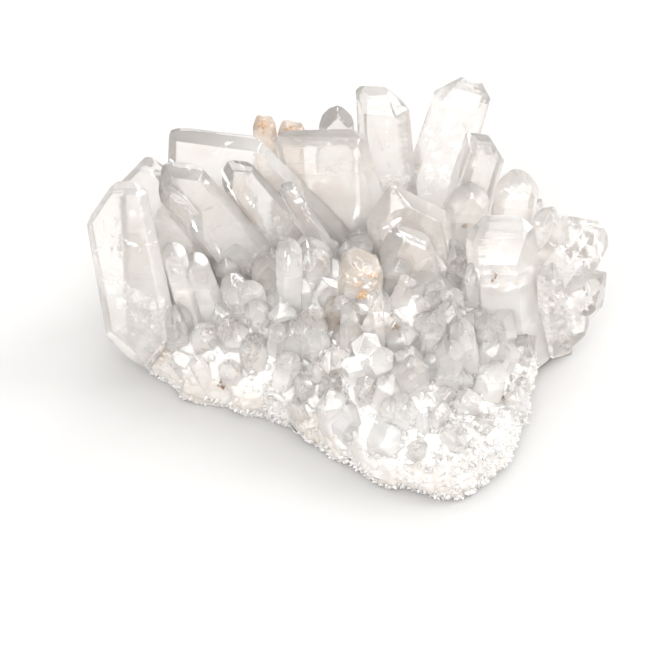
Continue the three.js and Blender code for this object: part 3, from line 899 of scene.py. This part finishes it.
def veil_sheets(per, low, high, tilt, rng):
    """Several veils in every named crystal, at heights between two parts of its length, with the map
    of each point: how far it is out towards the veil's rim, and a number of its own."""
    verts, uvs = [], []
    part = np.linspace(0, 1, VEIL_RINGS)[:, None] * np.ones(VEIL_SPOKES + 1)
    for c in (c for clump in CLUMPS.values() for c in clump):
        shape = Shape(c)
        for _ in range(per):
            middle = shape.root + rng.uniform(low, high) * shape.length * shape.axis
            if middle[2] < VEIL_FLOOR:
                continue
            normal = unit(shape.axis + tilt * rng.normal(size=3))
            p = veil_grid(shape, middle, normal, rng.uniform(0.75, 1.0), VEIL_RINGS, VEIL_SPOKES, 0.8,
                          int(rng.integers(1, 900)))
            verts.append(np.concatenate([p, p[:, :1]], axis=1).reshape(-1, 3))
            uvs.append(np.stack([part.ravel(), np.full(part.size, rng.uniform(0, 1))], axis=-1))
    return verts, uvs


# ---------------------------------------------------------------- operators

def length_value(name, description, default, high):
    """A length setting, given in mm and kept in metres."""
    return FloatProperty(name=name, description=description, default=default * MM, min=0, max=high * MM,
                         precision=6, unit="LENGTH", subtype="DISTANCE")


def colour_value(name, description, default):
    """A colour setting."""
    return FloatVectorProperty(name=name, description=description, default=default, min=0, max=1, size=3,
                               subtype="COLOR")


class QuartzSettings(bpy.types.PropertyGroup):
    """Sizes and colours of the cluster that a user would change."""

    edge: length_value("Edge Wear", "How far crystal edges are worn round", 0.07, 0.5)
    waves: length_value("Face Waves", "How far crystal faces wave in and out", 0.06, 0.5)
    spacing: length_value("Row Spacing", "Widest step between two rows along a crystal", 1.4, 5)
    infill_gap: length_value("Infill Gap", "Distance between lesser crystals along the plate", 6.3, 12)
    rim_points: IntProperty(name="Rim Points", description="How many small points are tried on the rim",
                            default=7000, min=100, max=20000)
    top_points: IntProperty(name="Top Points", description="How many small points are tried on the top",
                            default=6500, min=100, max=20000)
    clear: colour_value("Clear Quartz", "Tint of the clear crystals", (0.94, 0.925, 0.91))
    hazy: colour_value("Hazy Quartz", "Tint of the hazy crystals", (0.98, 0.962, 0.943))
    milky: colour_value("Milky Quartz", "Tint of the lesser crystals", (0.99, 0.975, 0.96))
    clouded: colour_value("Clouded Quartz", "Tint of the broad left blades", (0.905, 0.89, 0.877))
    smoky: colour_value("Smoky Quartz", "Tint of the smoky crystals", (0.98, 0.955, 0.93))
    tan: colour_value("Tan Quartz", "Tint of the crystals at the rusty break", (0.97, 0.94, 0.91))
    tan_stain: colour_value("Tan Stain", "Stain in the crystals at the rusty break", (0.86, 0.77, 0.68))
    stained: colour_value("Stained Quartz", "Tint of the stained stubs", (0.95, 0.90, 0.85))
    stain: colour_value("Iron Stain", "Stain in the stubs at the back", (0.76, 0.63, 0.52))
    frosted: colour_value("Frosted Quartz", "Tint of the frosted lumps", (0.96, 0.955, 0.95))
    druse: colour_value("Druse", "Tint of the small points on the plate", (0.74, 0.722, 0.705))
    plate_dark: colour_value("Plate Dark", "Darker clouds of the rim", (0.53, 0.48, 0.435))
    plate_pale: colour_value("Plate Pale", "Paler clouds of the rim", (0.65, 0.625, 0.60))
    # painted light: the top colour is paler than the rim's to stand in for light reaching the plate between
    # the crystals
    plate_top_painted_light: colour_value("Plate Top", "Top of the plate between the crystals", (0.70, 0.68, 0.66))
    rust: colour_value("Rust", "Grains of iron stain", (0.52, 0.34, 0.20))
    dirt: colour_value("Dirt", "Grains of dirt", (0.22, 0.13, 0.07))
    floor: colour_value("Floor", "The floor under the cluster", (0.43, 0.423, 0.417))


def finish_piece(name, mesh, look, nodes=()):
    """Puts a finished mesh in the scene, with its material and its place in the frame."""
    if not mesh.polygons:
        raise RuntimeError(f"{name} came out without faces")
    mesh.materials.clear()
    mesh.materials.append(material(look))
    piece = new_object(name, mesh)
    if nodes:
        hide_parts(*nodes)
    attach(piece, "root")
    return piece


class QUARTZ_OT_crystals(bpy.types.Operator):
    """Builds every clump of named crystals, joined where they grow through one another"""

    bl_idname = "quartz.crystals"
    bl_label = "Crystals"

    def execute(self, context):
        settings = context.scene.quartz
        for number, (clump, crystals) in enumerate(CLUMPS.items()):
            nodes = clump_nodes(clump)
            if not nodes:
                raise RuntimeError(f"the frame has no node for {clump}")
            meshes = []
            for i, c in enumerate(crystals):
                verts, faces, uv = crystal_grid(c, settings.spacing / MM, settings.edge / MM,
                                                settings.waves / MM, seed=17 * number + 3 * i + 1)
                meshes.append(new_mesh(f"{clump}_{i}", verts, faces, uv))
            joined = join_solids(clump, meshes)
            shade(joined, SHARP_ANGLE)
            slot = CLUMP_SLOTS.get(clump, "clear_quartz")
            finish_piece(f"{clump}_crystals", joined, CLUMP_LOOKS.get(clump, slot), nodes)
        return {"FINISHED"}


class QUARTZ_OT_infill(bpy.types.Operator):
    """Builds the lesser crystals between the named ones, in several pieces"""

    bl_idname = "quartz.infill"
    bl_label = "Infill Crystals"

    def execute(self, context):
        settings = context.scene.quartz
        made = infill(settings.infill_gap / MM)
        for part in range(INFILL_PIECES):
            meshes = []
            for i, c in enumerate(made[part::INFILL_PIECES]):
                verts, faces, uv = crystal_grid(c, INFILL_SPACING, settings.edge / MM, settings.waves / MM,
                                                seed=901 + 7 * i + part)
                meshes.append(new_mesh(f"infill_{i}", verts, faces, uv))
            joined = join_solids(f"infill_{part}", meshes)
            shade(joined, SHARP_ANGLE)
            finish_piece(f"infill_{part}", joined, "milky_crystal")
        return {"FINISHED"}


class QUARTZ_OT_plate(bpy.types.Operator):
    """Builds the milky plate with its rim and its swelling middle"""

    bl_idname = "quartz.plate"
    bl_label = "Plate"

    def execute(self, context):
        verts, faces = plate_grid()
        mesh = clean(new_mesh("plate_rock", verts, faces))
        shade(mesh, PLATE_SHARP_ANGLE)
        finish_piece("plate_rock", mesh, "milky_quartz", ("plate",))
        return {"FINISHED"}


class QUARTZ_OT_druse(bpy.types.Operator):
    """Builds the coat of small points on the rim and on the top of the plate"""

    bl_idname = "quartz.druse"
    bl_label = "Druse"

    def execute(self, context):
        settings = context.scene.quartz
        rng = np.random.default_rng(7)
        for name, count, runs, length, width in (
                ("druse_rim", settings.rim_points, (PLATE_RUN[3], PLATE_RUN[9]), (0.4, 1.3), (0.5, 1.3)),
                ("druse_top", settings.top_points, (PLATE_RUN[8], PLATE_RUN[13]), (0.7, 2.6), (0.6, 1.9))):
            place, out = druse_places(count, runs, rng)
            size = rng.uniform(0, 1, len(place)) ** 2
            long = length[0] + (length[1] - length[0]) * size
            wide = width[0] + (width[1] - width[0]) * size
            verts, faces = points_of_quartz(place - 0.2 * out, out, long, wide, rng)
            verts[:, 2] = np.maximum(verts[:, 2], 0.05)
            finish_piece(name, clean(new_mesh(name, verts, faces)), "druse")
        return {"FINISHED"}


class QUARTZ_OT_veils(bpy.types.Operator):
    """Builds the healed cracks and milky sheets inside the named crystals"""

    bl_idname = "quartz.veils"
    bl_label = "Veils"

    def execute(self, context):
        rng = np.random.default_rng(23)
        for kind, per, low, high, tilt in (("veil_milk", 3, 0.12, 0.5, 0.5),
                                           ("veil_clear", 2, 0.35, 0.85, 1.1)):
            verts, uvs = veil_sheets(per, low, high, tilt, rng)
            square = patch_faces(VEIL_RINGS, VEIL_SPOKES + 1)
            each = VEIL_RINGS * (VEIL_SPOKES + 1)
            faces = (np.arange(len(verts))[:, None, None] * each + square).reshape(-1, 4)
            mesh = new_mesh(kind, np.concatenate(verts), faces.tolist(), np.concatenate(uvs) / MM)
            mesh.shade_smooth()
            finish_piece(kind, mesh, kind)
        return {"FINISHED"}


# Flat cracks that show as flakes, and dark grey sheets that are painted dark reflections: middle in mm, which
# way they face, long and short half sizes in mm, turn in degrees and kind.
FLAKES = (
    ((-50, 1, 40), (-1, -4, 3), 5.0, 0.8, 20, "flake_white"),
    ((-50, 1, 40), (-1, -4, 3), 4.0, 0.9, 75, "flake_white"),
    ((-53, 2, 40), (-1, -4, 2), 4.6, 0.7, 140, "flake_white"),
    ((-55, 3, 39), (0, -4, 3), 3.4, 1.2, 100, "flake_white"),
    ((-60, 4, 38), (-1, -4, 1), 5.5, 1.6, 60, "flake_white"),
    ((-59, 4, 43), (-2, -4, 2), 3.8, 0.9, 110, "flake_bright"),
    ((-38, 12, 54), (-1, -3, 5), 7.0, 1.1, 160, "flake_bright"),
    ((-29, 13, 50), (-1, -3, 4), 6.0, 1.0, 130, "flake_bright"),
    ((-24, 13, 45), (0, -4, 3), 4.5, 0.9, 125, "flake_bright"),
    ((-38, 7, 45), (-1, -4, 3), 6.5, 0.9, 115, "flake_bright"),
    ((-33, 7, 38), (-1, -4, 2), 5.0, 0.8, 120, "flake_bright"),
    ((-12, 11, 47), (1, -3, 3), 3.2, 1.7, 120, "flake_bright"),
    ((-10, 12, 43), (1, -3, 2), 3.0, 1.4, 100, "flake_white"),
    ((-30, 20, 56), (0, -3, 3), 2.6, 1.3, 30, "flake_white"),
    # painted reflection: these three grey sheets paint in dark patches that the crystals reflect, and are not
    # cracks
    ((-29, 16, 51), (-1, -4, 3), 2.0, 1.2, 10, "flake_grey"),
    ((-38, 9, 43), (0, -4, 2), 1.6, 0.9, 60, "flake_grey"),
    ((-34, 10, 45), (0, -4, 2), 1.5, 0.9, 20, "flake_grey"),
    ((-3, 24, 55), (-1, -4, 3), 2.2, 1.2, 40, "flake_white"),
    ((16, 4, 40), (1, -3, 4), 6.0, 1.0, 150, "flake_bright"),
    ((13, 6, 44), (1, -3, 4), 4.0, 1.0, 20, "flake_white"),
    ((33, 40, 55), (-1, -4, 2), 6.0, 1.4, 60, "flake_white"),
    ((26, 38, 50), (-1, -4, 2), 7.0, 1.0, 70, "flake_bright"),
    ((11, 36, 52), (-1, -4, 2), 6.0, 1.2, 100, "flake_white"),
    ((57, 6, 38), (0, -4, 3), 4.0, 1.5, 40, "flake_bright"),
    ((60, 8, 33), (1, -4, 2), 4.0, 1.0, 110, "flake_white"),
    ((52, 6, 37), (0, -4, 3), 3.0, 1.0, 160, "flake_white"),
    ((38, 3, 36), (-1, -4, 3), 4.0, 1.0, 80, "flake_bright"),
    ((41, 2, 27), (0, -4, 2), 5.0, 1.2, 95, "flake_white"),
    ((4, -6, 38), (0, -4, 3), 2.6, 1.6, 60, "flake_white"),
    ((7, -15, 33), (0, -4, 2), 4.5, 0.9, 95, "flake_bright"),
    ((-9, 0, 38), (0, -4, 2), 4.0, 0.7, 95, "flake_bright"),
    ((-14, -3, 38), (1, -4, 2), 4.0, 0.8, 85, "flake_white"),
    ((-17, -12, 22), (-1, -4, 2), 2.4, 0.7, 95, "flake_bright"),
    ((-10, -21, 18), (0, -3, 3), 1.8, 1.6, 0, "flake_bright"),
    ((-30, -8, 25), (-1, -3, 3), 2.2, 1.2, 20, "flake_bright"),
)

# Iron stain and dirt as grains: middle in mm, spread in mm, how many, grain size in mm and colour.
GRAINS = (
    ((4, -10, 33), 1.1, 30, 0.5, "rust"),
    ((3, -10, 36), 1.2, 14, 0.35, "rust"),
    ((6, -8, 38), 1.4, 18, 0.4, "rust"),
    ((12, -17, 29), 0.8, 22, 0.4, "dirt"),
    ((37, 0, 31), 1.3, 34, 0.4, "dirt"),
    ((31, 21, 31), 0.8, 12, 0.3, "dirt"),
    ((33, 21, 30), 0.6, 8, 0.3, "dirt"),
    ((-31, -15, 8), 1.1, 26, 0.35, "dirt"),
    ((-21, 37, 51), 1.8, 30, 0.45, "rust"),
    ((-14, 36, 50), 1.8, 34, 0.45, "rust"),
    ((-16, 35, 45), 2.0, 26, 0.4, "rust"),
    ((-45, -7, 11), 2.6, 26, 0.3, "rust"),
    ((-41, -9, 10), 2.4, 20, 0.3, "rust"),
)


def flake_grid(middle, normal, long, wide, turn, seed):
    """A flake: a ring of spokes from its middle, long one way and narrow the other, its reach
    and its flatness broken up by noise."""
    normal = unit(normal)
    side = unit(np.cross(normal, (0, 0, 1)))
    other = np.cross(normal, side)
    angle = np.arange(FLAKE_SPOKES + 1) / FLAKE_SPOKES * 2 * math.pi
    flat = (np.cos(angle)[:, None] * side * FLAKE_LONG * long
            + np.sin(angle)[:, None] * other * FLAKE_WIDE * wide)
    spin = math.radians(turn)
    across = flat @ side
    along = flat @ other
    flat = ((across * math.cos(spin) - along * math.sin(spin))[:, None] * side
            + (across * math.sin(spin) + along * math.cos(spin))[:, None] * other)
    ragged = 1 + 0.45 * noise(np.stack([np.cos(angle), np.sin(angle), 0 * angle], axis=-1), 0.45, seed)
    part = np.linspace(0, 1, FLAKE_RINGS)
    p = np.asarray(middle, float) + part[:, None, None] * (ragged[:, None] * flat)
    return p + 0.35 * noise(p, 2.0, seed)[..., None] * normal


class QUARTZ_OT_flakes(bpy.types.Operator):
    """Builds the bright and white cracks, and the grey sheets that are painted dark reflections"""

    bl_idname = "quartz.flakes"
    bl_label = "Flakes"

    def execute(self, context):
        square = patch_faces(FLAKE_RINGS, FLAKE_SPOKES + 1)
        each = FLAKE_RINGS * (FLAKE_SPOKES + 1)
        for kind in ("flake_white", "flake_bright", "flake_grey"):
            verts = [flake_grid(*flake[:5], 60 + number).reshape(-1, 3)
                     for number, flake in enumerate(FLAKES) if flake[5] == kind]
            faces = (np.arange(len(verts))[:, None, None] * each + square).reshape(-1, 4)
            mesh = clean(new_mesh(kind, np.concatenate(verts), faces.tolist()))
            mesh.shade_smooth()
            finish_piece(kind, mesh, kind)
        return {"FINISHED"}


class QUARTZ_OT_grains(bpy.types.Operator):
    """Builds the grains of iron stain and of dirt"""

    bl_idname = "quartz.grains"
    bl_label = "Stain Grains"

    def execute(self, context):
        rng = np.random.default_rng(91)
        for kind in ("rust", "dirt"):
            place, size = [], []
            for middle, spread, count, grain, what in GRAINS:
                if what == kind:
                    place.append(np.array(middle) + rng.normal(0, spread / 2, (count, 3)))
                    size.append(grain * rng.uniform(0.4, 1.3, count))
            place, size = np.concatenate(place), np.concatenate(size)
            out = unit(rng.normal(size=place.shape))
            verts, faces = points_of_quartz(place, out, size, size, rng)
            finish_piece(f"grains_{kind}", clean(new_mesh(f"grains_{kind}", verts, faces)), kind)
        return {"FINISHED"}


# Lamps: name, the way they stand from the cluster, strength and how wide they look in degrees.
LAMPS = (
    ("key_light", (0.85, 0.2, 0.7), 1.6, 30),
    ("back_light", (0.35, 0.75, 0.75), 0.6, 25),
    ("front_fill", (-0.1, -0.77, 0.64), 2.75, 50),
)
SKY_LOW = 1.05            # strength of the light from the horizon
SKY_HIGH = 1.85           # strength of the light from overhead
FLOOR_REACH = 6.0         # half the floor's side, in metres
CAMERA_FAR = 0.44         # the camera's distance from its target, in metres
CAMERA_TILT = math.radians(40)
CAMERA_TARGET = np.array([-5, -14, 27]) * MM


class QUARTZ_OT_stage(bpy.types.Operator):
    """Sets the floor, the light and the camera"""

    bl_idname = "quartz.stage"
    bl_label = "Stage"

    def execute(self, context):
        scene = context.scene
        floor_mesh = bpy.data.meshes.new("floor")
        r = FLOOR_REACH
        floor_mesh.from_pydata([(-r, -r, 0), (r, -r, 0), (r, r, 0), (-r, r, 0)], [], [(0, 1, 2, 3)])
        floor = new_object("floor", floor_mesh)
        mat, tree, bsdf = shader("floor_white")
        bsdf.inputs["Base Color"].default_value = (*scene.quartz.floor, 1)
        bsdf.inputs["Roughness"].default_value = 1.0
        bsdf.inputs["Specular IOR Level"].default_value = 0.0
        floor_mesh.materials.append(mat)

        world = bpy.data.worlds.new("studio")
        scene.world = world
        world.use_nodes = True
        tree = world.node_tree
        sky = tree.nodes["Background"]
        place = node(tree, "ShaderNodeTexCoord")
        split = node(tree, "ShaderNodeSeparateXYZ")
        tree.links.new(place.outputs["Generated"], split.inputs["Vector"])
        ramp = node(tree, "ShaderNodeValToRGB")
        mixer = node(tree, "ShaderNodeMath", operation="MULTIPLY_ADD")
        mixer.inputs[1].default_value = 0.5
        mixer.inputs[2].default_value = 0.5
        tree.links.new(split.outputs["X"], mixer.inputs[0])
        tree.links.new(mixer.outputs["Value"], ramp.inputs["Fac"])
        ramp.color_ramp.elements[0].position = 0.1
        ramp.color_ramp.elements[0].color = (0.76, 0.752, 0.745, 1)
        ramp.color_ramp.elements[1].position = 0.65
        ramp.color_ramp.elements[1].color = (1.0, 1.0, 1.0, 1)
        tree.links.new(ramp.outputs["Color"], sky.inputs["Color"])
        over = node(tree, "ShaderNodeMapRange", interpolation_type="SMOOTHSTEP")
        over.inputs["From Min"].default_value = 0.05
        over.inputs["From Max"].default_value = 0.6
        over.inputs["To Min"].default_value = SKY_LOW
        over.inputs["To Max"].default_value = SKY_HIGH
        tree.links.new(split.outputs["Z"], over.inputs["Value"])
        tree.links.new(over.outputs["Result"], sky.inputs["Strength"])

        for name, place, energy, angle in LAMPS:
            light = bpy.data.lights.new(name, "SUN")
            light.energy = energy
            light.angle = math.radians(angle)
            lamp = bpy.data.objects.new(name, light)
            scene.collection.objects.link(lamp)
            lamp.location = place
            aim(lamp, (0, 0, 0.02))

        data = bpy.data.cameras.new("camera")
        data.lens = 100
        data.sensor_width = 36
        data.clip_start = 0.01
        cam = bpy.data.objects.new("camera", data)
        scene.collection.objects.link(cam)
        back = np.array([0, -math.cos(CAMERA_TILT), math.sin(CAMERA_TILT)])
        cam.location = CAMERA_TARGET + CAMERA_FAR * back
        cam.rotation_euler = (math.radians(90) - CAMERA_TILT, 0, 0)
        scene.camera = cam
        scene.view_settings.view_transform = "Standard"
        scene.cycles.max_bounces = 20
        scene.cycles.transmission_bounces = 20
        scene.cycles.transparent_max_bounces = 24
        scene.cycles.glossy_bounces = 8
        scene.cycles.diffuse_bounces = 14
        if scene.camera is None or scene.world is None:
            raise RuntimeError("the stage has no camera or no light")
        return {"FINISHED"}


def aim(obj, target):
    """Turns a light to look at a point."""
    look = Vector(target) - obj.location
    obj.rotation_euler = look.to_track_quat("-Z", "Y").to_euler()


class QUARTZ_PT_panel(bpy.types.Panel):
    """Lists the cluster's operators"""

    bl_label = "Quartz Cluster"
    bl_idname = "QUARTZ_PT_panel"
    bl_space_type = "VIEW_3D"
    bl_region_type = "UI"
    bl_category = "Quartz"

    def draw(self, context):
        """Lists the settings, and then the operators in the order they run."""
        for name in QuartzSettings.__annotations__:
            self.layout.prop(context.scene.quartz, name)
        for cls in OPERATORS:
            self.layout.operator(cls.bl_idname)


OPERATORS = (QUARTZ_OT_crystals, QUARTZ_OT_infill, QUARTZ_OT_plate, QUARTZ_OT_druse, QUARTZ_OT_veils,
             QUARTZ_OT_flakes, QUARTZ_OT_grains, QUARTZ_OT_stage)
CLASSES = (QuartzSettings, *OPERATORS, QUARTZ_PT_panel)


def register():
    """Adds the classes and the settings."""
    for cls in CLASSES:
        bpy.utils.register_class(cls)
    bpy.types.Scene.quartz = PointerProperty(type=QuartzSettings)


def unregister():
    """Takes the settings and the classes away."""
    del bpy.types.Scene.quartz
    for cls in reversed(CLASSES):
        bpy.utils.unregister_class(cls)


def main():
    """Builds every piece and the stage."""
    register()
    bpy.ops.quartz.crystals()
    bpy.ops.quartz.infill()
    bpy.ops.quartz.plate()
    bpy.ops.quartz.druse()
    bpy.ops.quartz.veils()
    bpy.ops.quartz.flakes()
    bpy.ops.quartz.grains()
    bpy.ops.quartz.stage()


if __name__ == "__main__":
    main()
